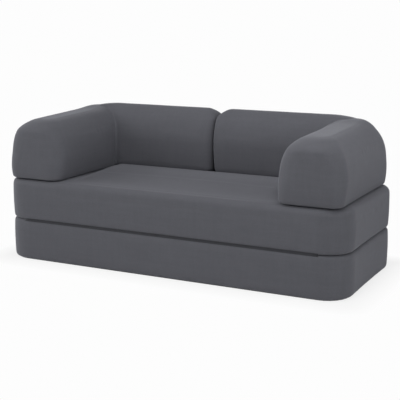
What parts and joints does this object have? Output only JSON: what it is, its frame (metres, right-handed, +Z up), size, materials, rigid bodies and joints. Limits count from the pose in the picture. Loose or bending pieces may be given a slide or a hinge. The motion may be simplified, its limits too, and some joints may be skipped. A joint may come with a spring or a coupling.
{
  "type": "sofa bed",
  "caption": "Flip-out foam sofa bed: two hinged slabs open forward into a flat double bed; two corner bolsters lift off.",
  "frame": {"origin": "centre of the footprint, on the floor under the base slab", "axes": "+X along the width towards the sitter's left arm as seen from the front, that is to the viewer's right; +Y towards the back; +Z up"},
  "size_m": [1.92, 0.821, 0.7865],
  "materials": {
    "velvet_cover": "charcoal short-pile velvet, softly brushed",
    "core_foam": "cut polyurethane foam",
    "comfort_foam": "soft cut foam",
    "underside_cloth": "non-slip spunbond cloth with small rubber dots",
    "hook_and_loop": "matte woven tape",
    "zip_tape": "woven tape with a nylon coil",
    "zip_metal": "dark plated zinc"
  },
  "bodies": {
    "base": {"base_cover": "velvet_cover", "base_foam_core": "core_foam", "base_comfort_layer": "comfort_foam", "base_underside_panel": "underside_cloth", "base_zip": "zip_tape", "front_hinge_strip": "velvet_cover"},
    "base_zip_slider": {"base_zip_slider": "zip_metal"},
    "base_zip_pull": {"base_zip_pull": "zip_metal"},
    "seat": {"seat_cover": "velvet_cover", "seat_foam_core": "core_foam", "seat_comfort_layer": "comfort_foam", "seat_zip": "zip_tape", "left_arm_loop_strips": "hook_and_loop", "left_back_loop_strips": "hook_and_loop", "right_arm_loop_strips": "hook_and_loop", "right_back_loop_strips": "hook_and_loop"},
    "seat_zip_slider": {"seat_zip_slider": "zip_metal"},
    "seat_zip_pull": {"seat_zip_pull": "zip_metal"},
    "left_bolster": {"left_arm_cover": "velvet_cover", "left_arm_foam_core": "core_foam", "left_arm_zip": "zip_tape", "left_arm_hook_strips": "hook_and_loop", "left_back_cover": "velvet_cover", "left_back_foam_core": "core_foam", "left_back_zip": "zip_tape", "left_back_hook_strips": "hook_and_loop"},
    "left_arm_zip_slider": {"left_arm_zip_slider": "zip_metal"},
    "left_back_zip_slider": {"left_back_zip_slider": "zip_metal"},
    "right_bolster": {"right_arm_cover": "velvet_cover", "right_arm_foam_core": "core_foam", "right_arm_zip": "zip_tape", "right_arm_hook_strips": "hook_and_loop", "right_back_cover": "velvet_cover", "right_back_foam_core": "core_foam", "right_back_zip": "zip_tape", "right_back_hook_strips": "hook_and_loop"},
    "right_arm_zip_slider": {"right_arm_zip_slider": "zip_metal"},
    "right_back_zip_slider": {"right_back_zip_slider": "zip_metal"}
  },
  "joints": [
    {"name": "seat_flip", "type": "hinge", "parent": "base", "child": "seat", "pos_m": [0, -0.4063, 0.21765], "axis": [1, 0, 0], "range_deg": [0, 180], "deforming": ["front_hinge_strip"]},
    {"name": "base_zip_slide", "type": "slide", "parent": "base", "child": "base_zip_slider", "axis": [1, 0, 0], "range_m": [0, 1.487]},
    {"name": "base_pull_swing", "type": "hinge", "parent": "base_zip_slider", "child": "base_zip_pull", "pos_m": [-0.7435, 0.41305, 0.1095], "axis": [1, 0, 0], "range_deg": [0, 180]},
    {"name": "seat_zip_slide", "type": "slide", "parent": "seat", "child": "seat_zip_slider", "axis": [1, 0, 0], "range_m": [0, 1.487]},
    {"name": "seat_pull_swing", "type": "hinge", "parent": "seat_zip_slider", "child": "seat_zip_pull", "pos_m": [-0.7435, 0.41305, 0.3258], "axis": [1, 0, 0], "range_deg": [0, 180]},
    {"name": "left_bolster_lift", "type": "slide", "parent": "seat", "child": "left_bolster", "axis": [0, 0, 1], "range_m": [0, 0.4]},
    {"name": "left_arm_zip_slide", "type": "slide", "parent": "left_bolster", "child": "left_arm_zip_slider", "axis": [0, 1, 0], "range_m": [0, 0.547]},
    {"name": "left_back_zip_slide", "type": "slide", "parent": "left_bolster", "child": "left_back_zip_slider", "axis": [-1, 0, 0], "range_m": [0, 0.417]},
    {"name": "right_bolster_lift", "type": "slide", "parent": "seat", "child": "right_bolster", "axis": [0, 0, 1], "range_m": [0, 0.4]},
    {"name": "right_arm_zip_slide", "type": "slide", "parent": "right_bolster", "child": "right_arm_zip_slider", "axis": [0, 1, 0], "range_m": [0, 0.547]},
    {"name": "right_back_zip_slide", "type": "slide", "parent": "right_bolster", "child": "right_back_zip_slider", "axis": [-1, 0, 0], "range_m": [0, 0.417]}
  ]
}
